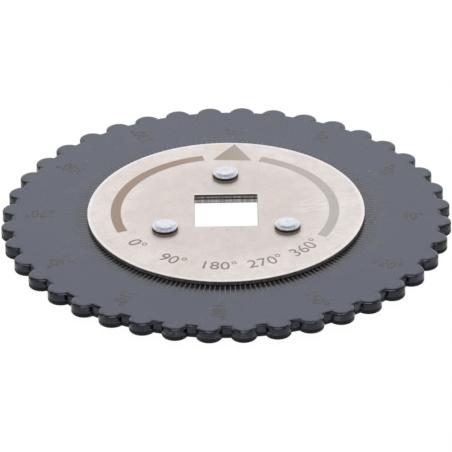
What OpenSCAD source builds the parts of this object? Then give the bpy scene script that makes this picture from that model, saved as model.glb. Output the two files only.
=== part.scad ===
// Torque angle gauge: a lobed dial that turns on a riveted hub with a square drive hole.
// Millimetres, +Z up. The origin is on the hub's axis, on the flange's underside.

/* [Drive] */
// Width of the square hole, half-inch drive with its clearance
drive_w = 12.95; // [12.75:0.05:13.3]
// Diameter of the clear land round the square, where a socket's end seats
seat_d = 23.5; // [21:0.5:27]

/* [Dial] */
// Diameter over the tips of the lobes
dial_d = 92.2; // [84:0.2:110]
// Thickness of the dial
dial_t = 2.65; // [2:0.05:4]
// Number of lobes round the rim
lobe_count = 40; // [30:1:44]
// Radius of each lobe
lobe_r = 2.7; // [2.3:0.05:3.1]
// Depth of the notches between the lobes
notch_depth = 2.05; // [1.7:0.05:2.4]
// Angle of a lobe's middle from the +Y side, clockwise
lobe_turn = 4.85; // [0:0.05:9]
// Rounding of the rim's lower edge, and height of its rolled upper edge
rim_round = 0.35; // [0.1:0.05:0.6]
// Width of the rim's upper edge, rolled over by the stamping
rim_roll = 0.8; // [0.4:0.05:1.1]
// Bevel on both mouths of the dial's bore
bore_bevel = 0.45; // [0.3:0.05:0.7]

/* [Pointer plate] */
// Diameter of the pointer plate
plate_d = 56.8; // [50:0.2:64]
// Thickness of the pointer plate
plate_t = 1; // [0.8:0.05:1.5]
// Rounding of the plate's edges
plate_round = 0.1; // [0.05:0.05:0.3]

/* [Hub cup] */
// Sheet thickness of the pressed cup
cup_t = 1; // [0.8:0.05:1.3]
// Inner radius of the bend at the top of the cup's wall
crown_bend = 0.4; // [0.2:0.05:0.6]
// Inner radius of the bend between the wall and the flange
flange_bend = 0.4; // [0.2:0.05:0.6]
// Width of the flange outside the wall
flange_w = 6.5; // [5:0.25:8]
// Clear floor in the cup between the rivets' tails and the wall
tail_room = 2; // [1.5:0.1:3]

/* [Rivets] */
// Shank diameter
rivet_d = 3; // [2.5:0.1:3.5]
// Diameter of the upper heads
head_d = 5.3; // [4.8:0.1:6]
// Height of the upper heads
head_h = 1.1; // [0.95:0.05:1.4]
// Height of the upper heads at their edge
head_rim_h = 0.85; // [0.6:0.05:0.9]
// Rounding of the upper heads' edge
head_round = 0.15; // [0.05:0.05:0.25]
// Diameter of the flat on top of the upper heads
head_flat_d = 3.2; // [2.5:0.1:4]
// Diameter of the tails inside the cup
tail_d = 5.2; // [4.6:0.1:6]
// Height of the tails
tail_h = 1.1; // [0.8:0.05:1.5]

/* [Wave washer] */
// Strip thickness of the washer
washer_t = 0.3; // [0.2:0.05:0.5]
// Height from the lowest to the highest point of one side of the strip
wave_h = 0.35; // [0.2:0.05:0.6]
// Number of waves
wave_count = 4; // [3:1:6]

/* [Clearances] */
// Running clearance between the hub's wall and the dial's bore, on the radius
bore_clear = 0.06; // [0.03:0.01:0.1]
// Gap between the dial's top and the pointer plate
plate_gap = 0.1; // [0.05:0.05:0.3]
// Gap between the washer's crests and the dial
washer_gap = 0.06; // [0.04:0.01:0.1]
// Gap between the washer and the cup's bend, and between the washer and the flange's edge
washer_edge = 0.5; // [0.3:0.1:0.8]
// Clearance of the rivets in their holes, on the radius
rivet_clear = 0.05; // [0.02:0.01:0.1]

/* [Hidden] */
$fn = 96;
cut = 1;

// Levels, from the flange's underside up
washer_z = cup_t;
dial_z = washer_z + washer_t + wave_h + washer_gap;
dial_top = dial_z + dial_t;
crown_z = dial_top + plate_gap;
plate_top = crown_z + plate_t;

// Radii, from the axis out
rivet_circle_r = seat_d / 2 + head_d / 2;
wall_r = rivet_circle_r + tail_d / 2 + tail_room + cup_t;
flange_r = wall_r + flange_w;
bore_r = wall_r + bore_clear;
root_r = dial_d / 2 - notch_depth;
lobe_circle_r = dial_d / 2 - lobe_r;

// Rivets, and their angles from +X, the first one on the +Y side
rivet_count = 3;
function rivet_angle(i) = 90 + i * 360 / rivet_count;

// Direction of a lobe's middle from the axis
function lobe_direction(i) =
    let (a = 90 - lobe_turn + i * 360 / lobe_count)
        [cos(a), sin(a), 0];

// Steps in a rounded edge, and in one turn of the washer's strip
round_steps = 2;
strip_steps = 96;

// A quarter of an edge about (x, z), wide along x and high along z
function edge_arc(x, z, wide, high, from) =
    [for (i = [0 : round_steps]) let (a = from + 90 * i / round_steps) [x + wide * cos(a), z + high * sin(a)]];

// A disc from z = 0 up with both edges rounded, the upper one over the width of its roll
module rounded_disc(radius, height, round, roll) {
    rotate_extrude()
        polygon(concat(
            [[0, 0]],
            edge_arc(radius - round, round, round, round, -90),
            edge_arc(radius - roll, height - round, roll, round, 0),
            [[0, height]]
        ));
}

// The square drive hole through a sheet at height z
module drive_hole(z, height) {
    translate([-drive_w / 2, -drive_w / 2, z - cut]) cube([drive_w, drive_w, height + 2 * cut]);
}

// The rivet holes through a sheet at height z
module rivet_holes(z, height) {
    for (i = [0 : rivet_count - 1])
        rotate(rivet_angle(i))
            translate([rivet_circle_r, 0, z - cut])
                cylinder(r = rivet_d / 2 + rivet_clear, h = height + 2 * cut);
}

// The dial: a stamped flat ring with round lobes, rolled upper edges and a bevelled bore
module dial_ring() {
    color("dimgray")
        translate([0, 0, dial_z])
            difference() {
                union() {
                    rounded_disc(root_r, dial_t, rim_round, rim_roll);
                    for (i = [0 : lobe_count - 1])
                        translate(lobe_circle_r * lobe_direction(i))
                            rounded_disc(lobe_r, dial_t, rim_round, rim_roll);
                }
                bore();
            }
}

// The dial's bore with a bevel at each mouth
module bore() {
    mouth_r = bore_r + bore_bevel;
    rotate_extrude()
        polygon([
            [0, -cut], [mouth_r, -cut], [mouth_r, 0], [bore_r, bore_bevel],
            [bore_r, dial_t - bore_bevel], [mouth_r, dial_t], [mouth_r, dial_t + cut], [0, dial_t + cut]
        ]);
}

// The flat plate that carries the pointer and covers the dial's bore
module pointer_plate() {
    color("gainsboro")
        difference() {
            translate([0, 0, crown_z]) rounded_disc(plate_d / 2, plate_t, plate_round, plate_round);
            drive_hole(crown_z, plate_t);
            rivet_holes(crown_z, plate_t);
        }
}

// A quarter of a bent sheet's section, about (x, z), with its inner radius
module bend(x, z, inner, from) {
    outer = inner + cup_t;
    translate([x, z])
        rotate(from)
            intersection() {
                difference() {
                    circle(r = outer);
                    circle(r = inner);
                }
                square(outer + cut);
            }
}

// Half of the cup's section: crown, wall and flange of one thickness
module cup_section() {
    crown_out = crown_bend + cup_t;
    translate([0, crown_z - cup_t]) square([wall_r - crown_out, cup_t]);
    bend(wall_r - crown_out, crown_z - crown_out, crown_bend, 0);
    translate([wall_r - cup_t, cup_t + flange_bend])
        square([cup_t, crown_z - crown_out - cup_t - flange_bend]);
    bend(wall_r + flange_bend, cup_t + flange_bend, flange_bend, 180);
    translate([wall_r + flange_bend, 0]) square([flange_w - flange_bend, cup_t]);
}

// The pressed cup: its wall is the dial's axle, and its flange holds the dial from below
module hub_cup() {
    color("silver")
        difference() {
            rotate_extrude() cup_section();
            drive_hole(crown_z - cup_t, cup_t);
            rivet_holes(crown_z - cup_t, cup_t);
        }
}

// Height of the washer's underside at an angle
function wave_z(a) = washer_z + wave_h * (1 - cos(wave_count * a)) / 2;

// The spring strip under the dial, whose drag holds the dial where it is set
module wave_washer() {
    inner_r = wall_r + flange_bend + washer_edge;
    outer_r = flange_r - washer_edge;
    section = [[inner_r, 0], [outer_r, 0], [outer_r, washer_t], [inner_r, washer_t]];
    corners = len(section);
    points = [
        for (i = [0 : strip_steps - 1])
            let (a = 360 * i / strip_steps)
                for (p = section) [p[0] * cos(a), p[0] * sin(a), p[1] + wave_z(a)]
    ];
    faces = [
        for (i = [0 : strip_steps - 1])
            for (k = [0 : corners - 1])
                let (
                    here = i * corners,
                    next = ((i + 1) % strip_steps) * corners,
                    k2 = (k + 1) % corners
                )
                    for (f = [[here + k, next + k, next + k2], [here + k, next + k2, here + k2]]) f
    ];
    color("lightslategray") polyhedron(points, faces);
}

// One rivet: a bevelled head on the plate, the shank, and the tail inside the cup
module rivet(i) {
    shank_z = crown_z - cup_t;
    head_z = plate_top;
    color("lightsteelblue")
        rotate(rivet_angle(i))
            translate([rivet_circle_r, 0, 0])
                rotate_extrude()
                    polygon(concat(
                        [
                            [0, shank_z - tail_h],
                            [tail_d / 2, shank_z - tail_h],
                            [tail_d / 2, shank_z],
                            [rivet_d / 2, shank_z],
                            [rivet_d / 2, head_z],
                            [head_d / 2, head_z]
                        ],
                        edge_arc(head_d / 2 - head_round, head_z + head_rim_h - head_round, head_round, head_round, 0),
                        [[head_flat_d / 2, head_z + head_h], [0, head_z + head_h]]
                    ));
}

module rivet_rear() rivet(0);
module rivet_left() rivet(1);
module rivet_right() rivet(2);

dial_ring();
pointer_plate();
hub_cup();
wave_washer();
rivet_rear();
rivet_left();
rivet_right();
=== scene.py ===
"""Looks for the torque angle gauge: rounded metal pieces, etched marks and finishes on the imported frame."""
import math

import bmesh
import bpy
from mathutils import Matrix, Vector


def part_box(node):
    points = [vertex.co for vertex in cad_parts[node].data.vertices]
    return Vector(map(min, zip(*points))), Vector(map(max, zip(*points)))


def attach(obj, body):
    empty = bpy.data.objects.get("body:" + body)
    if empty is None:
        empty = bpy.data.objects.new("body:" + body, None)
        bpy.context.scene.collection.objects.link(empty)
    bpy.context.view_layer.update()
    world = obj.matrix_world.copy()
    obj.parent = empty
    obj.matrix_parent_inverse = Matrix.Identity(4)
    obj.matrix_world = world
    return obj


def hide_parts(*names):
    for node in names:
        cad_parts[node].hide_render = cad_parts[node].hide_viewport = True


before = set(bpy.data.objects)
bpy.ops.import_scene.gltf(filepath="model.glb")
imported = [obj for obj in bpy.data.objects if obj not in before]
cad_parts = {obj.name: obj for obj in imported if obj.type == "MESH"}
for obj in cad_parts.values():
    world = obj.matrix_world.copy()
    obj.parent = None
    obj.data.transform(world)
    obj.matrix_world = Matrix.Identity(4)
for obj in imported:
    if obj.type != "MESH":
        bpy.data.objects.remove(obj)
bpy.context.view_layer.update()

# Pieces are drawn in millimetres and scaled to metres when they are finished
MM = 0.001
UP = Vector((0, 0, 1))
ORIGIN = Vector((0, 0, 0))


def low_corner(name):
    """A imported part's lowest corner, in millimetres."""
    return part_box(name)[0] / MM


def high_corner(name):
    """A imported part's highest corner, in millimetres."""
    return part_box(name)[1] / MM


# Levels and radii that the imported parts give
DIAL_LOW = low_corner("dial_ring").z
DIAL_TOP = high_corner("dial_ring").z
PLATE_LOW = low_corner("pointer_plate").z
PLATE_TOP = high_corner("pointer_plate").z
PLATE_R = high_corner("pointer_plate").x
FLANGE_R = high_corner("hub_cup").x
HEAD_TOP = high_corner("rivet_rear").z
TAIL_LOW = low_corner("rivet_rear").z
HEAD_R = high_corner("rivet_rear").x
RIVET_CIRCLE_R = (high_corner("rivet_rear").y + low_corner("rivet_rear").y) / 2

# Dial
DIAL_R = 46.09
LOBES = 40
LOBE_R = 2.7
NOTCH_DEPTH = 2.05
LOBE_TURN = math.radians(4.85)
RIM_ROUND = 0.35
RIM_ROLL = 0.85
ROLL_FACE_H = 0.03
ROLL_H = 0.25
FRACTURE_H = 1.05
BORE_R = 20.06
BORE_ROUND = 0.4
LOBE_CIRCLE_R = DIAL_R - LOBE_R
ROOT_R = DIAL_R - NOTCH_DEPTH
LOBE_PITCH = 2 * math.pi / LOBES

# Plate, cup and rivets
DRIVE_W = 12.95
DRIVE_CORNER = 0.2
DRIVE_ROUND = 0.05
SEAM_ROUND = 0.13
PLATE_ROUND = 0.1
FLANGE_ROUND = 0.14
SHEET_T = 1
BEND_R = 0.4
WALL_R = 20
CROWN_LOW = PLATE_LOW - SHEET_T
RIVET_R = 1.5
RIVET_HOLE_R = 1.55
HEAD_RIM_H = 0.85
HEAD_FLAT_R = 1.6
HEAD_ROUND = 0.2
HEAD_LAND = 0.15
HEAD_DISH = 0.05
TAIL_R = 2.6
TAIL_FLAT_R = 1.9
RIVET_ANGLES = {"rivet_rear": 90, "rivet_left": 210, "rivet_right": 330}

# Marks on the dial, in clockwise degrees from the +Y side
DIAL_ZERO = 2.8
DEGREES_PER_LINE = 2
LINES_PER_LONG_LINE = 5
DEGREES_PER_NUMBER = 30
LINE_W = 0.15
LINE_START_R = 27.9
SHORT_LINE_R = 31.4
LONG_LINE_R = 34.4
NUMBER_R = 38.2
ZERO_NUMBER_R = 35.4
NUMBER_SIZE = 4.0
NUMBER_SQUEEZE = 0.85

# Marks on the plate, whose bands are a little off its middle
BAND_SHIFT = -0.2
POINTER_TURN = 4.14
POINTER_TIP_R = 27.75
POINTER_BASE_R = 20.95
POINTER_HALF_W = 4.05
ARC_INNER_R = 21.35
ARC_OUTER_R = 23.4
ARC_FROM = 15.35
ARC_TO = 115.2
QUARTERS = ("0°", "90°", "180°", "270°", "360°")
QUARTER_R = 22.4
QUARTER_SIZE = 4.2
QUARTER_STEP = 25
MARK_T = 0.03
MARK_PROUD = 0.012

# Where wear, dirt, marks and painted light and shade lie, in millimetres; each pair of radii goes from none
# to full
STAIN_RADII = (37, 28)
PLATE_SHADE_RADII = (32, 29.8)
DULL_RADII = (23, 15)
RUST_RADII = (21, 10)
LINE_CLEAR_RADII = (32.5, 29)
NUMBER_CLEAR_RADII = (46, 34)
FRINGE_W = 0.9
FOOT_H = 0.4
RIM_HIGHLIGHT_W = 1
HOLE_HIGHLIGHT_W = 0.7
HOLE_HIGHLIGHT_FADE = 0.2
HOLE_DARK_H = 0.3

# Painted highlight colour, tints of the blackened steel's shine, and the dial face's index of refraction
PAINTED_HIGHLIGHT = (0.98, 0.975, 0.98, 1)
BLUE_SHEEN = (0.81, 0.865, 1, 1)
DEEP_SHEEN = (0.68, 0.745, 1, 1)
OXIDE_IOR = 1.57

# Mesh fineness
TURN_STEPS = 192
HOLE_STEPS = 48
LOBE_STEPS = 18
NOTCH_STEPS = 5
ROUND_STEPS = 5
BEND_STEPS = 8
CORNER_STEPS = 3
SUPPORT = 0.06
SHARP_ANGLE = math.radians(35)
MERGE = 0.001

# Camera, in the photograph's frame of 452 by 452 pixels
PHOTO_PX = 452
FOCAL_PX = 4388
SENSOR = 36
CAMERA_DISTANCE = 893 * MM
CAMERA_ELEVATION = math.radians(30.2)
CAMERA_ROLL = math.radians(-0.905)
CAMERA_AIM = Vector((-0.05, -6.41, PLATE_TOP)) * MM
CLIP_NEAR = 0.05

# Floor and surroundings, in metres; the floor's glow is seen by the camera and in reflections
FLOOR_Z = -0.05 * MM
FLOOR_SIZE = 3
FLOOR_WHITE = (0.95, 0.95, 0.95, 1)
FLOOR_ROUGHNESS = 0.9
GLOW_STRENGTH = 1.05
GLOW_SHARE = 0.93
WORLD_STRENGTH = 0.25
WHITE = (1, 1, 1, 1)

# Numbers of the colour sockets on a Mix node
MIX_FACTOR = 0
MIX_A = 6
MIX_B = 7
MIX_RESULT = 2


# Mesh helpers

def new_verts(bm, old):
    return [v for v in bm.verts if v not in old]


def new_edges(bm, old):
    return [e for e in bm.edges if e not in old]


def verts_of(geom):
    return [g for g in geom if isinstance(g, bmesh.types.BMVert)]


def spin(bm, geom, centre, axis, angle, steps, copies=False, close=False):
    return bmesh.ops.spin(
        bm, geom=geom, cent=centre, axis=axis, dvec=ORIGIN, angle=angle, steps=steps,
        use_duplicate=copies, use_merge=close, use_normal_flip=False,
    )


class Section:
    """A chain of edges in the XZ plane, drawn with lines and arcs, that is then turned about Z."""

    def __init__(self, bm, x, z):
        self.bm = bm
        self.old_verts = set(bm.verts)
        self.old_edges = set(bm.edges)
        self.tip = bm.verts.new((x, 0, z))

    def line(self, x, z):
        made = bmesh.ops.extrude_vert_indiv(self.bm, verts=[self.tip])
        self.tip = made["verts"][0]
        self.tip.co = (x, 0, z)
        return self

    def arc(self, x, z, degrees, steps=ROUND_STEPS):
        """Goes round (x, z), counter-clockwise with X to the right and Z up."""
        made = spin(self.bm, [self.tip], (x, 0, z), (0, -1, 0), math.radians(degrees), steps)
        self.tip = verts_of(made["geom_last"])[0]
        return self

    def turn(self, steps=TURN_STEPS):
        geom = new_verts(self.bm, self.old_verts) + new_edges(self.bm, self.old_edges)
        spin(self.bm, geom, ORIGIN, UP, 2 * math.pi, steps, close=True)
        return new_verts(self.bm, self.old_verts)


def quarter_round(centre, start, width, height):
    """Insets and heights round a quarter of an edge, width in and height up."""
    steps = []
    for i in range(ROUND_STEPS + 1):
        a = math.radians(start + 90 * i / ROUND_STEPS)
        steps.append((width * (1 - math.cos(a)), centre + height * math.sin(a)))
    return steps


def rim_steps():
    """Insets and heights up the dial's rim, whose upper edge is rolled over by the stamping."""
    low_edge = quarter_round(DIAL_LOW + RIM_ROUND, -90, RIM_ROUND, RIM_ROUND)
    top_edge = quarter_round(DIAL_TOP - RIM_ROUND, 0, RIM_ROLL, RIM_ROUND)
    fracture = (0, DIAL_LOW + FRACTURE_H)
    low_face = (RIM_ROUND + SUPPORT, DIAL_LOW)
    top_face = (RIM_ROLL + SUPPORT, DIAL_TOP)
    return [low_face, *low_edge, fracture, *top_edge, top_face]


def hole_steps(low, top, low_round, top_round):
    """Insets and heights up the drive hole's wall through one sheet."""
    low_edge = quarter_round(low + low_round, -90, low_round, low_round)
    top_edge = quarter_round(top - top_round, 0, top_round, top_round)
    return [(low_round + SUPPORT, low), *low_edge, *top_edge, (top_round + SUPPORT, top)]


def lobed_loop(bm, inset, z):
    """The dial's outline at one height, drawn in by an inset."""
    old_verts = set(bm.verts)
    old_edges = set(bm.edges)
    lobe_r = LOBE_R - inset
    root_r = ROOT_R - inset
    corner = math.acos((root_r**2 - LOBE_CIRCLE_R**2 - lobe_r**2) / (2 * LOBE_CIRCLE_R * lobe_r))
    x = LOBE_CIRCLE_R + lobe_r * math.cos(corner)
    y = lobe_r * math.sin(corner)
    first = bm.verts.new((x, -y, z))
    lobe = spin(bm, [first], (LOBE_CIRCLE_R, 0, z), UP, 2 * corner, LOBE_STEPS)
    notch = LOBE_PITCH - 2 * math.atan2(y, x)
    spin(bm, verts_of(lobe["geom_last"]), ORIGIN, UP, notch, NOTCH_STEPS)
    sector = new_verts(bm, old_verts) + new_edges(bm, old_edges)
    spin(bm, sector, ORIGIN, UP, 2 * math.pi - LOBE_PITCH, LOBES - 1, copies=True)
    outline = new_verts(bm, old_verts)
    place = Matrix.Rotation(math.pi / 2 - LOBE_TURN, 3, "Z")
    bmesh.ops.rotate(bm, verts=outline, cent=ORIGIN, matrix=place)
    bmesh.ops.remove_doubles(bm, verts=outline, dist=MERGE)
    return new_edges(bm, old_edges)


def square_loop(bm, width, z):
    """A square with small round corners."""
    old = set(bm.edges)
    place = Matrix.Translation((0, 0, z)) @ Matrix.Rotation(math.pi / 4, 4, "Z")
    reach = width / math.sqrt(2)
    made = bmesh.ops.create_circle(bm, cap_ends=True, segments=4, radius=reach, matrix=place)
    bmesh.ops.bevel(
        bm, geom=made["verts"], offset=DRIVE_CORNER, offset_type="OFFSET", segments=CORNER_STEPS,
        profile=0.5, affect="VERTICES", material=-1,
    )
    faces = {f for e in new_edges(bm, old) for f in e.link_faces}
    bmesh.ops.delete(bm, geom=list(faces), context="FACES_ONLY")
    return new_edges(bm, old)


def drive_walls(bm, steps):
    """The walls of the square drive hole through a sheet."""
    low = steps[0][1]
    width = DRIVE_W + 2 * steps[0][0]
    edges = square_loop(bm, width, low)
    for (_, z), (inset, next_z) in zip(steps, steps[1:]):
        next_width = DRIVE_W + 2 * inset
        verts = verts_of(bmesh.ops.extrude_edge_only(bm, edges=edges)["geom"])
        bmesh.ops.scale(bm, verts=verts, vec=(next_width / width, next_width / width, 1))
        bmesh.ops.translate(bm, verts=verts, vec=(0, 0, next_z - z))
        edges = [e for e in bm.edges if e.verts[0] in verts and e.verts[1] in verts]
        width = next_width


def rivet_place(degrees):
    turn = Matrix.Rotation(math.radians(degrees), 4, "Z")
    return turn @ Matrix.Translation((RIVET_CIRCLE_R, 0, 0))


def rivet_hole_walls(bm, low, top):
    for degrees in RIVET_ANGLES.values():
        wall = Section(bm, RIVET_HOLE_R, low).line(RIVET_HOLE_R, top).turn(HOLE_STEPS)
        bmesh.ops.transform(bm, matrix=rivet_place(degrees), verts=wall)


def fill_flat(bm, z, material_index=0):
    """Fills the flat face between the open loops at one height."""
    rims = [e for e in bm.edges if e.is_boundary]
    rims = [e for e in rims if all(abs(v.co.z - z) < MERGE for v in e.verts)]
    made = bmesh.ops.triangle_fill(bm, use_beauty=True, use_dissolve=False, edges=rims, normal=UP)
    for face in made["geom"]:
        if isinstance(face, bmesh.types.BMFace):
            face.material_index = material_index


def paint(bm, material_index, low, top, inner, outer):
    """Gives another finish to the faces between two heights and two radii."""
    for face in bm.faces:
        middle = face.calc_center_median()
        if low + MERGE < middle.z < top - MERGE and inner < middle.xy.length < outer:
            face.material_index = material_index


def thicken(bm, faces, low, top):
    """Turns flat faces into a thin closed slab between two heights."""
    for v in {v for f in faces for v in f.verts}:
        v.co.z = low
    made = bmesh.ops.extrude_face_region(bm, geom=faces, use_keep_orig=True)
    bmesh.ops.translate(bm, verts=verts_of(made["geom"]), vec=(0, 0, top - low))


def make_piece(name, bm, materials, body, replaced=None):
    """Closes the mesh, gives it its finish and sets it on its body."""
    bmesh.ops.remove_doubles(bm, verts=bm.verts, dist=MERGE)
    bmesh.ops.recalc_face_normals(bm, faces=bm.faces)
    bmesh.ops.scale(bm, verts=bm.verts, vec=(MM, MM, MM))
    for face in bm.faces:
        face.smooth = True
    mesh = bpy.data.meshes.new(name)
    bm.to_mesh(mesh)
    bm.free()
    mesh.set_sharp_from_angle(angle=SHARP_ANGLE)
    for material in materials:
        mesh.materials.append(material)
    piece = bpy.data.objects.new(name, mesh)
    bpy.context.scene.collection.objects.link(piece)
    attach(piece, body)
    if replaced:
        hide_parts(replaced)


# Material helpers

def new_material(name, metallic, specular, tint=WHITE):
    material = bpy.data.materials.new(name)
    material.use_nodes = True
    tree = material.node_tree
    shader = tree.nodes["Principled BSDF"]
    shader.inputs["Metallic"].default_value = metallic
    shader.inputs["Specular IOR Level"].default_value = specular
    shader.inputs["Specular Tint"].default_value = tint
    return material, tree, shader


def put(tree, socket, value):
    """Links an output to an input, or sets the input's own value."""
    if isinstance(value, bpy.types.NodeSocket):
        tree.links.new(value, socket)
    else:
        socket.default_value = value


def node(tree, kind, settings=None, **inputs):
    made = tree.nodes.new("ShaderNode" + kind)
    for name, value in (settings or {}).items():
        setattr(made, name, value)
    for name, value in inputs.items():
        put(tree, made.inputs[name.replace("_", " ")], value)
    return made


def maths(tree, operation, a, b=0.0):
    made = node(tree, "Math", {"operation": operation})
    put(tree, made.inputs[0], a)
    put(tree, made.inputs[1], b)
    return made.outputs[0]


def mix_colour(tree, factor, a, b):
    made = node(tree, "Mix", {"data_type": "RGBA"})
    put(tree, made.inputs[MIX_FACTOR], factor)
    put(tree, made.inputs[MIX_A], a)
    put(tree, made.inputs[MIX_B], b)
    return made.outputs[MIX_RESULT]


def ramp(tree, value, low, high, to_low=0.0, to_high=1.0):
    made = node(
        tree, "MapRange", {"interpolation_type": "SMOOTHSTEP"},
        Value=value, From_Min=low, From_Max=high, To_Min=to_low, To_Max=to_high,
    )
    return made.outputs[0]


def coordinates(tree, turn=0.0, stretch=(1, 1, 1)):
    """Object coordinates in millimetres, turned about Z and stretched."""
    source = node(tree, "TexCoord").outputs["Object"]
    turned = node(tree, "Mapping", Vector=source, Rotation=(0, 0, math.radians(turn)))
    scale = tuple(s / MM for s in stretch)
    return node(tree, "Mapping", Vector=turned.outputs[0], Scale=scale).outputs[0]


def axis_mm(tree, axis):
    """Distance from the origin along one axis, in millimetres."""
    return node(tree, "SeparateXYZ", Vector=coordinates(tree)).outputs[axis]


def off_axis(tree):
    """Distance from the axis, in millimetres."""
    flat = coordinates(tree, 0, (1, 1, 0))
    made = node(tree, "VectorMath", {"operation": "LENGTH"})
    put(tree, made.inputs[0], flat)
    return made.outputs["Value"]


def off_rivets(tree):
    """Distance from the nearest rivet's axis, in millimetres."""
    flat = coordinates(tree, 0, (1, 1, 0))
    nearest = PLATE_R
    for degrees in RIVET_ANGLES.values():
        made = node(tree, "VectorMath", {"operation": "DISTANCE"})
        put(tree, made.inputs[0], flat)
        put(tree, made.inputs[1], rivet_place(degrees).to_translation())
        nearest = maths(tree, "MINIMUM", made.outputs["Value"], nearest)
    return nearest


def noise(tree, size, detail=2.0, turn=0.0, stretch=(1, 1, 1)):
    """Smooth noise whose blotches are about size millimetres across."""
    place = coordinates(tree, turn, stretch)
    made = node(tree, "TexNoise", Vector=place, Scale=1 / size, Detail=detail)
    return made.outputs["Fac"]


def scratches(tree, turn, length, width, share):
    """A mask of thin straight scratches in one direction."""
    streaks = noise(tree, 1, 1, turn, (1 / length, 1 / width, 1))
    gaps = noise(tree, 9, 2, turn + 20)
    thin = ramp(tree, streaks, share, share + 0.06)
    return maths(tree, "MULTIPLY", thin, ramp(tree, gaps, 0.5, 0.68))


def specks(tree, spacing, size, share):
    """A mask of small scattered dots."""
    cells = node(tree, "TexVoronoi", Vector=coordinates(tree), Scale=1 / spacing)
    near = ramp(tree, cells.outputs["Distance"], size / spacing, 0.5 * size / spacing)
    chosen = node(tree, "SeparateColor", Color=cells.outputs["Color"]).outputs[0]
    return maths(tree, "MULTIPLY", near, maths(tree, "LESS_THAN", chosen, share))


def bump(tree, relief, depth):
    return node(tree, "Bump", Height=relief, Distance=depth * MM).outputs[0]


def dress(tree, shader, colour, roughness, normal=None):
    """Gives a shader its colour, its roughness and its relief."""
    put(tree, shader.inputs["Base Color"], colour)
    put(tree, shader.inputs["Roughness"], roughness)
    if normal is not None:
        put(tree, shader.inputs["Normal"], normal)


# Finishes

def oxide_face():
    """The dial's flat faces: smooth blackened steel with a mottled sheen, stains, scratches and dust, and a
    painted shade next to the plate.
    """
    material, tree, shader = new_material("oxide_face", 0.0, 1.0, DEEP_SHEEN)
    shader.inputs["IOR"].default_value = OXIDE_IOR
    cloud = noise(tree, 14, 4)
    mottle = noise(tree, 1.2, 4)
    grain = noise(tree, 0.3, 3)
    colour = mix_colour(tree, cloud, (0.022, 0.024, 0.034, 1), (0.05, 0.053, 0.07, 1))
    pale = ramp(tree, mottle, 0.35, 0.75, 0, 0.45)
    colour = mix_colour(tree, pale, colour, (0.08, 0.085, 0.108, 1))
    near_plate = ramp(tree, off_axis(tree), *STAIN_RADII)
    blots = ramp(tree, noise(tree, 5, 3), 0.48, 0.7, 0, 0.55)
    stain = maths(tree, "MULTIPLY", near_plate, blots)
    colour = mix_colour(tree, stain, colour, (0.13, 0.1, 0.065, 1))
    # Painted shade: the dial darkens in a ring next to the plate's edge, where the plate shades it
    plate_shade = ramp(tree, off_axis(tree), *PLATE_SHADE_RADII, 0, 0.85)
    colour = mix_colour(tree, plate_shade, colour, (0.014, 0.012, 0.008, 1))
    fine = maths(tree, "MAXIMUM", scratches(tree, 52, 7, 0.1, 0.66), scratches(tree, -25, 5, 0.09, 0.68))
    faint = maths(tree, "MULTIPLY", fine, 0.25)
    marks = maths(tree, "MAXIMUM", faint, specks(tree, 4.2, 0.22, 0.15))
    colour = mix_colour(tree, marks, colour, (0.4, 0.41, 0.43, 1))
    roughness = ramp(tree, mottle, 0.25, 0.75, 0.24, 0.32)
    dress(tree, shader, colour, roughness, bump(tree, maths(tree, "ADD", mottle, grain), 0.004))
    return material


def oxide_edge(name, specular, uneven):
    """The dial's rim and bore: glossy black with worn spots."""
    material, tree, shader = new_material(name, 0.0, specular, BLUE_SHEEN)
    grain = noise(tree, 0.3, 3)
    waves = noise(tree, 1.6, 3)
    wear = ramp(tree, waves, 0.5, 0.66)
    colour = mix_colour(tree, wear, (0.003, 0.004, 0.007, 1), (0.065, 0.073, 0.094, 1))
    roughness = ramp(tree, waves, 0.3, 0.7, 0.1, 0.24)
    dress(tree, shader, colour, roughness, bump(tree, maths(tree, "ADD", waves, grain), uneven))
    return material


def oxide_fracture():
    """The lower part of the stamped rim, where the sheet broke: rough and black, the black partly a painted
    shade at the rim's foot.
    """
    material, tree, shader = new_material("oxide_fracture", 0.0, 0.2, BLUE_SHEEN)
    grain = noise(tree, 0.25, 3)
    colour = mix_colour(tree, grain, (0.003, 0.003, 0.004, 1), (0.014, 0.015, 0.02, 1))
    roughness = ramp(tree, grain, 0.3, 0.7, 0.4, 0.6)
    dress(tree, shader, colour, roughness, bump(tree, grain, 0.08))
    return material


def smudged(tree, colour, cloud, mottle, grain):
    """Adds grey smudges and grain, and a duller middle with rust specks."""
    smudge = ramp(tree, mottle, 0.42, 0.72, 0, 0.3)
    colour = mix_colour(tree, smudge, colour, (0.72, 0.69, 0.68, 1))
    colour = mix_colour(tree, ramp(tree, grain, 0.4, 0.8, 0, 0.38), colour, (0.5, 0.44, 0.4, 1))
    near_hole = ramp(tree, off_axis(tree), *DULL_RADII)
    dulled = maths(tree, "MULTIPLY", near_hole, ramp(tree, cloud, 0.3, 0.6, 0.15, 0.65))
    colour = mix_colour(tree, dulled, colour, (0.7, 0.63, 0.6, 1))
    middle = ramp(tree, off_axis(tree), *RUST_RADII, 0, 0.4)
    rust = maths(tree, "MULTIPLY", middle, specks(tree, 1.5, 0.4, 0.16))
    return mix_colour(tree, rust, colour, (0.5, 0.37, 0.27, 1))


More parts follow.
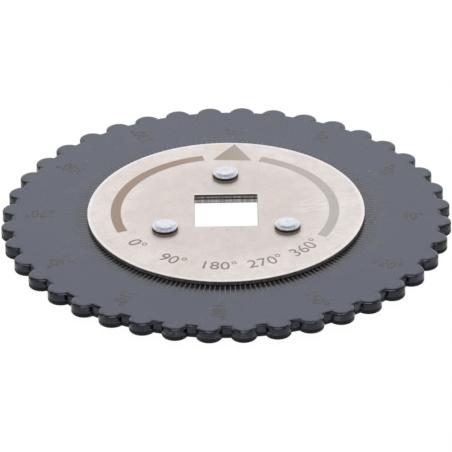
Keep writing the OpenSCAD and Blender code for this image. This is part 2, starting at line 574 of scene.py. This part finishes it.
def grime_shade_and_highlights(tree, colour):
    """Adds the brown fringe round the rivets, partly grime and partly painted shade, and painted highlights
    along the plate's rim and at the hole's far edge.
    """
    # Partly grime and partly painted shade: a brown ring on the plate round the foot of each rivet's head
    grime_and_shade_fringe = ramp(tree, off_rivets(tree), HEAD_R + FRINGE_W, HEAD_R - FRINGE_W / 2, 0, 0.7)
    colour = mix_colour(tree, grime_and_shade_fringe, colour, (0.62, 0.45, 0.27, 1))
    # Painted highlight: a bright band just inside the plate's rim
    rim = ramp(tree, off_axis(tree), PLATE_R - RIM_HIGHLIGHT_W, PLATE_R - PLATE_ROUND, 0, 0.8)
    colour = mix_colour(tree, rim, colour, PAINTED_HIGHLIGHT)
    # Painted highlight: a bright strip on the plate at the far edge of the drive hole only
    hole_edge = DRIVE_W / 2
    sideways = maths(tree, "ABSOLUTE", axis_mm(tree, "X"))
    beside = ramp(tree, sideways, hole_edge + HOLE_HIGHLIGHT_FADE, hole_edge)
    back = axis_mm(tree, "Y")
    behind = ramp(tree, back, hole_edge + HOLE_HIGHLIGHT_W, hole_edge + HOLE_HIGHLIGHT_FADE)
    behind = maths(tree, "MULTIPLY", behind, maths(tree, "GREATER_THAN", back, 0))
    far_edge_highlight = maths(tree, "MULTIPLY", maths(tree, "MULTIPLY", beside, behind), 0.75)
    return mix_colour(tree, far_edge_highlight, colour, PAINTED_HIGHLIGHT)


def nickel(name, warm, cool):
    """Satin nickel plate: fine grain, pinkish and grey smudges, and hairline scratches."""
    material, tree, shader = new_material(name, 0.85, 0.5)
    cloud = noise(tree, 11, 3)
    mottle = noise(tree, 1.6, 4)
    grain = noise(tree, 0.3, 3)
    colour = mix_colour(tree, ramp(tree, cloud, 0.3, 0.7), warm, cool)
    colour = smudged(tree, colour, cloud, mottle, grain)
    # Adds the rivet fringe with its painted shade, and the painted highlights at the rim and the hole
    colour = grime_shade_and_highlights(tree, colour)
    hair = maths(tree, "MAXIMUM", scratches(tree, 18, 8, 0.08, 0.67), scratches(tree, -47, 6, 0.08, 0.68))
    on_right = ramp(tree, axis_mm(tree, "X"), 4, 20)
    rubbed = maths(tree, "MULTIPLY", scratches(tree, -14, 4, 0.3, 0.54), on_right)
    thin = maths(tree, "MULTIPLY", hair, 0.4)
    wide = maths(tree, "MULTIPLY", rubbed, 0.7)
    colour = mix_colour(tree, maths(tree, "MAXIMUM", thin, wide), colour, (0.95, 0.88, 0.83, 1))
    dust = maths(tree, "MULTIPLY", specks(tree, 3.6, 0.15, 0.16), 0.6)
    colour = mix_colour(tree, dust, colour, (0.3, 0.28, 0.25, 1))
    roughness = ramp(tree, mottle, 0.25, 0.75, 0.37, 0.43)
    dress(tree, shader, colour, roughness, bump(tree, maths(tree, "ADD", grain, hair), 0.005))
    return material


def rough_height(tree, grain):
    """Height in millimetres, made uneven so that borders aren't straight."""
    return maths(tree, "ADD", axis_mm(tree, "Z"), maths(tree, "MULTIPLY", grain, 0.2))


def sheared(name, dark, light, metallic, low, top):
    """The cut edge of a sheet, with upright lines from the punch, and dark borders at its top and foot
    painted as shade.
    """
    material, tree, shader = new_material(name, metallic, 0.4)
    lines = noise(tree, 0.35, 2, 0, (1, 1, 0.15))
    grain = noise(tree, 0.2, 2)
    up = rough_height(tree, grain)
    # Painted shade: the wall darkens towards its top and its foot
    low_border = ramp(tree, up, low + 0.1, low + 0.4)
    top_border = ramp(tree, up, top + 0.1, top - 0.15)
    between = maths(tree, "MULTIPLY", low_border, top_border)
    share = maths(tree, "MULTIPLY", between, ramp(tree, lines, 0.3, 0.7, 0.35, 1))
    colour = mix_colour(tree, share, dark, light)
    roughness = ramp(tree, grain, 0.3, 0.7, 0.38, 0.52)
    dress(tree, shader, colour, roughness, bump(tree, maths(tree, "ADD", lines, grain), 0.02))
    return material


def rivet_metal(name, dark, light):
    """Bare pressed rivet metal with small dents."""
    material, tree, shader = new_material(name, 0.9, 0.5)
    dents = noise(tree, 0.8, 3)
    grain = noise(tree, 0.2, 3)
    colour = mix_colour(tree, ramp(tree, dents, 0.35, 0.65), dark, light)
    colour = mix_colour(tree, ramp(tree, grain, 0.45, 0.85, 0, 0.2), colour, (0.5, 0.53, 0.58, 1))
    roughness = ramp(tree, grain, 0.3, 0.7, 0.26, 0.4)
    dress(tree, shader, colour, roughness, bump(tree, maths(tree, "ADD", dents, grain), 0.02))
    return material


def rivet_edge():
    """The side of a rivet's head, painted dark as shade, and brown at its foot, partly grime and partly a
    painted reflection of the plate.
    """
    material, tree, shader = new_material("rivet_side", 0.3, 0.4)
    grain = noise(tree, 0.2, 2)
    # Painted reflection and grime: the side turns brown towards the plate
    foot = ramp(tree, rough_height(tree, grain), PLATE_TOP + FOOT_H, PLATE_TOP)
    colour = mix_colour(tree, foot, (0.02, 0.02, 0.022, 1), (0.72, 0.53, 0.33, 1))
    roughness = ramp(tree, grain, 0.3, 0.7, 0.38, 0.52)
    dress(tree, shader, colour, roughness, bump(tree, grain, 0.02))
    return material


def spring_steel():
    """Bare strip with the lines of its rolling."""
    material, tree, shader = new_material("spring_steel", 0.9, 0.5)
    rolled = noise(tree, 1, 2, 0, (1 / 6, 1 / 0.2, 1))
    colour = mix_colour(tree, rolled, (0.28, 0.28, 0.3, 1), (0.42, 0.42, 0.44, 1))
    dress(tree, shader, colour, ramp(tree, rolled, 0.2, 0.8, 0.3, 0.42))
    return material


def plate_etch(name, left, right):
    """The plate's matt etched marks, darker and browner on the left and lighter and greyer on the right, as
    painted shade and painted light across the plate.
    """
    material, tree, shader = new_material(name, 0.88, 0.4)
    grain = noise(tree, 0.25, 3)
    cloud = noise(tree, 9, 2)
    sideways = maths(tree, "ADD", axis_mm(tree, "X"), maths(tree, "MULTIPLY", cloud, 8))
    # Painted light and shade: the marks go from darker on the left to lighter on the right
    colour = mix_colour(tree, ramp(tree, sideways, -12, 24), left, right)
    colour = mix_colour(tree, ramp(tree, grain, 0.4, 0.8, 0, 0.35), colour, (0.3, 0.26, 0.235, 1))
    roughness = ramp(tree, grain, 0.3, 0.7, 0.4, 0.48)
    dress(tree, shader, colour, roughness, bump(tree, grain, 0.01))
    return material


def dial_etch(name, dark, light, clear_radii):
    """The dial's etched marks, which fade in places and from one radius to the other into the black."""
    material, tree, shader = new_material(name, 0.0, 0.6, BLUE_SHEEN)
    wear = noise(tree, 2.5, 3)
    grain = noise(tree, 0.22, 2)
    clear = ramp(tree, off_axis(tree), *clear_radii)
    kept = maths(tree, "MULTIPLY", clear, ramp(tree, wear, 0.3, 0.6, 0.3, 1))
    colour = mix_colour(tree, kept, dark, light)
    colour = mix_colour(tree, ramp(tree, grain, 0.4, 0.8, 0, 0.4), colour, dark)
    roughness = ramp(tree, wear, 0.3, 0.7, 0.36, 0.5)
    dress(tree, shader, colour, roughness, bump(tree, grain, 0.01))
    return material


# Pieces

def make_dial(edge, face, fracture, roll):
    """The dial: a stamped ring with round lobes and a rounded bore."""
    bm = bmesh.new()
    loops = [lobed_loop(bm, inset, z) for inset, z in rim_steps()]
    for loop, next_loop in zip(loops, loops[1:]):
        bmesh.ops.bridge_loops(bm, edges=loop + next_loop)
    mouth = BORE_R + BORE_ROUND
    bore = Section(bm, mouth + SUPPORT, DIAL_LOW).line(mouth, DIAL_LOW)
    bore.arc(mouth, DIAL_LOW + BORE_ROUND, -90).line(BORE_R, DIAL_TOP - BORE_ROUND)
    bore.arc(mouth, DIAL_TOP - BORE_ROUND, -90).line(mouth + SUPPORT, DIAL_TOP).turn()
    finishes = [edge, face, fracture, roll]
    flat = finishes.index(face)
    fill_flat(bm, DIAL_LOW, flat)
    fill_flat(bm, DIAL_TOP, flat)
    broken_top = DIAL_LOW + FRACTURE_H
    rolled_top = DIAL_TOP - ROLL_FACE_H
    # The lower band of the rim: partly its broken edge and partly painted shade at its foot
    paint(bm, finishes.index(fracture), DIAL_LOW, broken_top, ROOT_R - RIM_ROLL, DIAL_R)
    paint(bm, finishes.index(roll), DIAL_TOP - ROLL_H, rolled_top, ROOT_R, DIAL_R)
    paint(bm, flat, rolled_top, DIAL_TOP, ROOT_R - 2 * RIM_ROLL, DIAL_R)
    make_piece("lobed_dial", bm, finishes, "dial", "dial_ring")


def make_plate(face, rim_edge, hole_edge, seam):
    """The pointer plate with its drive hole and rivet holes."""
    bm = bmesh.new()
    inner = PLATE_R - PLATE_ROUND
    rim = Section(bm, inner - SUPPORT, PLATE_LOW).line(inner, PLATE_LOW)
    rim.arc(inner, PLATE_LOW + PLATE_ROUND, 90).line(PLATE_R, PLATE_TOP - PLATE_ROUND)
    rim.arc(inner, PLATE_TOP - PLATE_ROUND, 90).line(inner - SUPPORT, PLATE_TOP).turn()
    drive_walls(bm, hole_steps(PLATE_LOW, PLATE_TOP, SEAM_ROUND, DRIVE_ROUND))
    rivet_hole_walls(bm, PLATE_LOW, PLATE_TOP)
    fill_flat(bm, PLATE_LOW)
    fill_flat(bm, PLATE_TOP)
    finishes = [face, rim_edge, hole_edge, seam]
    seam_top = PLATE_LOW + SEAM_ROUND
    paint(bm, finishes.index(rim_edge), PLATE_LOW, PLATE_TOP - PLATE_ROUND, WALL_R, DIAL_R)
    paint(bm, finishes.index(hole_edge), seam_top, PLATE_TOP, 0, DRIVE_W)
    paint(bm, finishes.index(seam), PLATE_LOW, seam_top, 0, DRIVE_W)
    make_piece("face_plate", bm, finishes, "hub", "pointer_plate")


def make_cup(face, hole_edge, seam):
    """The pressed cup: crown, wall and flange of one sheet."""
    bm = bmesh.new()
    outer = BEND_R + SHEET_T
    crown_r = WALL_R - outer
    foot_r = WALL_R + BEND_R
    edge_r = FLANGE_R - FLANGE_ROUND
    sheet = Section(bm, crown_r - SUPPORT, PLATE_LOW).line(crown_r, PLATE_LOW)
    sheet.arc(crown_r, PLATE_LOW - outer, -90, BEND_STEPS).line(WALL_R, outer)
    sheet.arc(foot_r, outer, 90, BEND_STEPS).line(edge_r, SHEET_T)
    sheet.arc(edge_r, SHEET_T - FLANGE_ROUND, -90).line(FLANGE_R, FLANGE_ROUND)
    sheet.arc(edge_r, FLANGE_ROUND, -90).line(foot_r, 0)
    sheet.arc(foot_r, outer, -90, BEND_STEPS).line(WALL_R - SHEET_T, CROWN_LOW - BEND_R)
    sheet.arc(crown_r, CROWN_LOW - BEND_R, 90, BEND_STEPS).line(crown_r - SUPPORT, CROWN_LOW).turn()
    drive_walls(bm, hole_steps(CROWN_LOW, PLATE_LOW, DRIVE_ROUND, SEAM_ROUND))
    rivet_hole_walls(bm, CROWN_LOW, PLATE_LOW)
    fill_flat(bm, CROWN_LOW)
    fill_flat(bm, PLATE_LOW)
    finishes = [face, hole_edge, seam]
    seam_low = PLATE_LOW - SEAM_ROUND
    paint(bm, finishes.index(hole_edge), CROWN_LOW, seam_low, 0, DRIVE_W)
    paint(bm, finishes.index(seam), seam_low, PLATE_LOW, 0, DRIVE_W)
    make_piece("pressed_cup", bm, finishes, "hub", "hub_cup")


def make_rivet(name, degrees, metal, side, bevel):
    """A rivet with a flat disc of a head, bevelled up to its middle, and a flat tail."""
    bm = bmesh.new()
    tail_bevel = (CROWN_LOW - TAIL_LOW) / 2
    shoulder_z = PLATE_TOP + HEAD_RIM_H - HEAD_ROUND
    shape = Section(bm, 0, TAIL_LOW).line(TAIL_FLAT_R, TAIL_LOW)
    shape.line(TAIL_R, TAIL_LOW + tail_bevel).line(TAIL_R, CROWN_LOW).line(RIVET_R, CROWN_LOW)
    shape.line(RIVET_R, PLATE_TOP).line(HEAD_R, PLATE_TOP).line(HEAD_R, shoulder_z)
    shape.arc(HEAD_R - HEAD_ROUND, shoulder_z, 90)
    shape.line(HEAD_R - HEAD_ROUND - HEAD_LAND, PLATE_TOP + HEAD_RIM_H)
    shape.line(HEAD_FLAT_R + HEAD_LAND, HEAD_TOP - HEAD_DISH)
    shape.line(HEAD_FLAT_R - HEAD_LAND, HEAD_TOP)
    shape.line(HEAD_FLAT_R / 2, HEAD_TOP - HEAD_DISH / 2).line(0, HEAD_TOP - HEAD_DISH)
    verts = shape.turn(HOLE_STEPS)
    finishes = [metal, side, bevel]
    land_z = PLATE_TOP + HEAD_RIM_H
    paint(bm, finishes.index(side), PLATE_TOP, shoulder_z, RIVET_R, DIAL_R)
    # The bevel takes the darker copy of the rivet metal, as painted shade
    paint(bm, finishes.index(bevel), land_z, HEAD_TOP, HEAD_FLAT_R, HEAD_R - HEAD_ROUND)
    bmesh.ops.transform(bm, matrix=rivet_place(degrees), verts=verts)
    make_piece("pressed_" + name, bm, finishes, "hub", name)


def clockwise(degrees):
    """Turns what points along +X to a clockwise angle from the +Y side."""
    return Matrix.Rotation(math.radians(90 - degrees), 4, "Z")


def make_dial_lines(material):
    """Scale lines: one every two degrees, with a long one every ten."""
    bm = bmesh.new()
    for i in range(360 // DEGREES_PER_LINE):
        end = SHORT_LINE_R if i % LINES_PER_LONG_LINE else LONG_LINE_R
        middle_r = (LINE_START_R + end) / 2
        middle = Matrix.Translation((middle_r, 0, DIAL_TOP + MARK_PROUD - MARK_T / 2))
        size = Matrix.Diagonal((end - LINE_START_R, LINE_W, MARK_T, 1))
        turn = clockwise(DIAL_ZERO + i * DEGREES_PER_LINE)
        bmesh.ops.create_cube(bm, size=1, matrix=turn @ middle @ size)
    make_piece("dial_lines", bm, [material], "dial")


def add_words(bm, words, size):
    """Adds text as thin solid letters, centred on the origin and read along X."""
    old = set(bm.verts)
    curve = bpy.data.curves.new("letters", "FONT")
    curve.body = words
    curve.size = size
    curve.extrude = MARK_T / 2
    curve.align_x = "CENTER"
    curve.align_y = "CENTER"
    curve.resolution_u = 4
    holder = bpy.data.objects.new("letters", curve)
    bpy.context.scene.collection.objects.link(holder)
    graph = bpy.context.evaluated_depsgraph_get()
    mesh = bpy.data.meshes.new_from_object(holder.evaluated_get(graph))
    bm.from_mesh(mesh)
    bpy.data.objects.remove(holder)
    bpy.data.curves.remove(curve)
    bpy.data.meshes.remove(mesh)
    return new_verts(bm, old)


def bend_round(verts, radius, degrees):
    """Bends flat letters round the axis, with their tops towards it."""
    for v in verts:
        turn = math.radians(degrees) - v.co.x / radius
        reach = radius - v.co.y
        v.co.x = reach * math.sin(turn)
        v.co.y = reach * math.cos(turn)


def make_dial_numbers(material):
    """Degrees round the dial, read outwards from the axis."""
    bm = bmesh.new()
    for degrees in range(0, 360, DEGREES_PER_NUMBER):
        radius = NUMBER_R if degrees else ZERO_NUMBER_R
        place = clockwise(DIAL_ZERO + degrees)
        place = place @ Matrix.Translation((radius, 0, DIAL_TOP + MARK_PROUD - MARK_T / 2))
        place = place @ Matrix.Diagonal((NUMBER_SQUEEZE, 1, 1, 1))
        letters = add_words(bm, f"{degrees}°", NUMBER_SIZE)
        bmesh.ops.transform(bm, matrix=place, verts=letters)
    make_piece("dial_numbers", bm, [material], "dial")


def make_pointer(material):
    """The triangle that points at the scale."""
    bm = bmesh.new()
    tip = (POINTER_TIP_R, 0)
    corners = (tip, (POINTER_BASE_R, POINTER_HALF_W), (POINTER_BASE_R, -POINTER_HALF_W))
    face = bm.faces.new([bm.verts.new((x, y, 0)) for x, y in corners])
    thicken(bm, [face], PLATE_TOP + MARK_PROUD - MARK_T, PLATE_TOP + MARK_PROUD)
    bmesh.ops.transform(bm, matrix=clockwise(POINTER_TURN), verts=bm.verts)
    make_piece("pointer_mark", bm, [material], "hub")


def make_arcs(material):
    """The two bands beside the pointer."""
    bm = bmesh.new()
    for side in (1, -1):
        ends = [bm.verts.new((r, 0, 0)) for r in (ARC_INNER_R, ARC_OUTER_R)]
        edge = bm.edges.new(ends)
        bmesh.ops.transform(bm, matrix=clockwise(POINTER_TURN + side * ARC_FROM), verts=ends)
        sweep = math.radians(-side * (ARC_TO - ARC_FROM))
        spin(bm, [*ends, edge], ORIGIN, UP, sweep, TURN_STEPS // 3)
    thicken(bm, list(bm.faces), PLATE_TOP + MARK_PROUD - MARK_T, PLATE_TOP + MARK_PROUD)
    bmesh.ops.translate(bm, verts=bm.verts, vec=(BAND_SHIFT, 0, 0))
    make_piece("plate_arcs", bm, [material], "hub")


def make_quarter_marks(material):
    """Quarter turns in degrees, bent round the plate opposite the pointer."""
    bm = bmesh.new()
    first = 180 + POINTER_TURN + QUARTER_STEP * (len(QUARTERS) - 1) / 2
    for i, words in enumerate(QUARTERS):
        letters = add_words(bm, words, QUARTER_SIZE)
        bend_round(letters, QUARTER_R, first - i * QUARTER_STEP)
    bmesh.ops.translate(bm, verts=bm.verts, vec=(0, 0, PLATE_TOP + MARK_PROUD - MARK_T / 2))
    make_piece("quarter_marks", bm, [material], "hub")


# Stage

def make_floor():
    """A white floor that keeps the shadow, and shows as white to the camera and in reflections."""
    bm = bmesh.new()
    bmesh.ops.create_grid(bm, x_segments=1, y_segments=1, size=FLOOR_SIZE)
    mesh = bpy.data.meshes.new("floor")
    bm.to_mesh(mesh)
    bm.free()
    material, tree, shader = new_material("floor_white", 0.0, 0.0)
    dress(tree, shader, FLOOR_WHITE, FLOOR_ROUGHNESS)
    glow = node(tree, "Emission", Color=WHITE, Strength=GLOW_STRENGTH)
    seen = node(tree, "LightPath")
    rays = maths(tree, "MAXIMUM", seen.outputs["Is Camera Ray"], seen.outputs["Is Glossy Ray"])
    rays = maths(tree, "MAXIMUM", rays, seen.outputs["Is Transmission Ray"])
    mix = node(tree, "MixShader", Fac=maths(tree, "MULTIPLY", rays, GLOW_SHARE))
    put(tree, mix.inputs[1], shader.outputs[0])
    put(tree, mix.inputs[2], glow.outputs[0])
    put(tree, tree.nodes["Material Output"].inputs["Surface"], mix.outputs[0])
    mesh.materials.append(material)
    floor = bpy.data.objects.new("floor", mesh)
    floor.location.z = FLOOR_Z
    bpy.context.scene.collection.objects.link(floor)


def softbox(name, place, width, depth, power):
    """A soft lamp that looks at the gauge."""
    light = bpy.data.lights.new(name, "AREA")
    light.shape = "RECTANGLE"
    light.size = width
    light.size_y = depth
    light.energy = power
    lamp = bpy.data.objects.new(name, light)
    lamp.location = place
    lamp.rotation_euler = (-Vector(place)).to_track_quat("-Z", "Y").to_euler()
    bpy.context.scene.collection.objects.link(lamp)


def make_lights():
    world = bpy.data.worlds.new("studio")
    world.use_nodes = True
    background = world.node_tree.nodes["Background"]
    background.inputs["Color"].default_value = WHITE
    background.inputs["Strength"].default_value = WORLD_STRENGTH
    bpy.context.scene.world = world
    softbox("back_softbox", place=(0, 1.3, 0.52), width=2.4, depth=1.25, power=8.7)
    softbox("top_softbox", place=(0, -0.1, 1.1), width=0.6, depth=0.6, power=2.2)
    softbox("left_softbox", place=(-0.8, -0.3, 0.5), width=0.5, depth=0.5, power=0.8)
    softbox("right_softbox", place=(0.85, -0.1, 0.45), width=0.5, depth=0.5, power=0.7)


def make_camera():
    data = bpy.data.cameras.new("camera")
    data.sensor_width = SENSOR
    data.lens = FOCAL_PX * SENSOR / PHOTO_PX
    data.clip_start = CLIP_NEAR
    back = Vector((0, -math.cos(CAMERA_ELEVATION), math.sin(CAMERA_ELEVATION)))
    place = Matrix.Translation(CAMERA_AIM + CAMERA_DISTANCE * back)
    level = Matrix.Rotation(math.pi / 2 - CAMERA_ELEVATION, 4, "X")
    roll = Matrix.Rotation(CAMERA_ROLL, 4, "Z")
    camera = bpy.data.objects.new("camera", data)
    camera.matrix_world = place @ level @ roll
    bpy.context.scene.collection.objects.link(camera)
    bpy.context.scene.camera = camera


# Assembly

make_camera()
make_floor()
make_lights()

rim_shear = sheared(
    "rim_shear", (0.012, 0.011, 0.009, 1), (0.27, 0.245, 0.205, 1), 0.2, PLATE_LOW, PLATE_TOP)
hole_shear = sheared(
    "hole_shear", (0.07, 0.061, 0.055, 1), (0.4, 0.358, 0.318, 1), 0.6, PLATE_LOW, PLATE_TOP - HOLE_DARK_H)
cup_shear = sheared(
    "cup_shear", (0.13, 0.13, 0.133, 1), (0.6, 0.6, 0.615, 1), 0.6, CROWN_LOW, PLATE_LOW)
seam_gap = sheared(
    "seam_gap", (0.003, 0.003, 0.003, 1), (0.012, 0.011, 0.01, 1), 0.0, CROWN_LOW, PLATE_TOP)
rivet_top = rivet_metal("rivet_top", (0.69, 0.725, 0.775, 1), (0.81, 0.835, 0.87, 1))
# Painted shade: the rivet's bevel gets a darker copy of the rivet metal
rivet_bevel_shaded = rivet_metal("rivet_bevel_shaded", (0.57, 0.625, 0.69, 1), (0.74, 0.78, 0.825, 1))
rivet_side = rivet_edge()
rim_wall = oxide_edge("oxide_edge", 0.5, 0.05)
rim_roll = oxide_edge("oxide_roll", 1.0, 0.01)
plate_face = nickel("plate_nickel", (0.835, 0.75, 0.715, 1), (0.895, 0.838, 0.81, 1))
cup_face = nickel("cup_nickel", (0.66, 0.61, 0.585, 1), (0.74, 0.7, 0.685, 1))
lines = dial_etch("line_etch", (0.21, 0.205, 0.195, 1), (0.43, 0.4, 0.33, 1), LINE_CLEAR_RADII)
numbers = dial_etch("number_etch", (0.045, 0.042, 0.042, 1), (0.2, 0.165, 0.12, 1), NUMBER_CLEAR_RADII)
# The etched marks' left colour is the painted shade and the right colour the painted light
bands = plate_etch("band_etch", (0.435, 0.328, 0.258, 1), (0.61, 0.567, 0.55, 1))
quarters = plate_etch("quarter_etch", (0.29, 0.24, 0.204, 1), (0.36, 0.325, 0.306, 1))

make_dial(rim_wall, oxide_face(), oxide_fracture(), rim_roll)
make_plate(plate_face, rim_shear, hole_shear, seam_gap)
make_cup(cup_face, cup_shear, seam_gap)
for rivet_name, rivet_degrees in RIVET_ANGLES.items():
    make_rivet(rivet_name, rivet_degrees, rivet_top, rivet_side, rivet_bevel_shaded)
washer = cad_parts["wave_washer"]
washer.data.materials.clear()
washer.data.materials.append(spring_steel())

make_dial_lines(lines)
make_dial_numbers(numbers)
make_pointer(bands)
make_arcs(bands)
make_quarter_marks(quarters)

bpy.context.scene.view_settings.view_transform = "Standard"
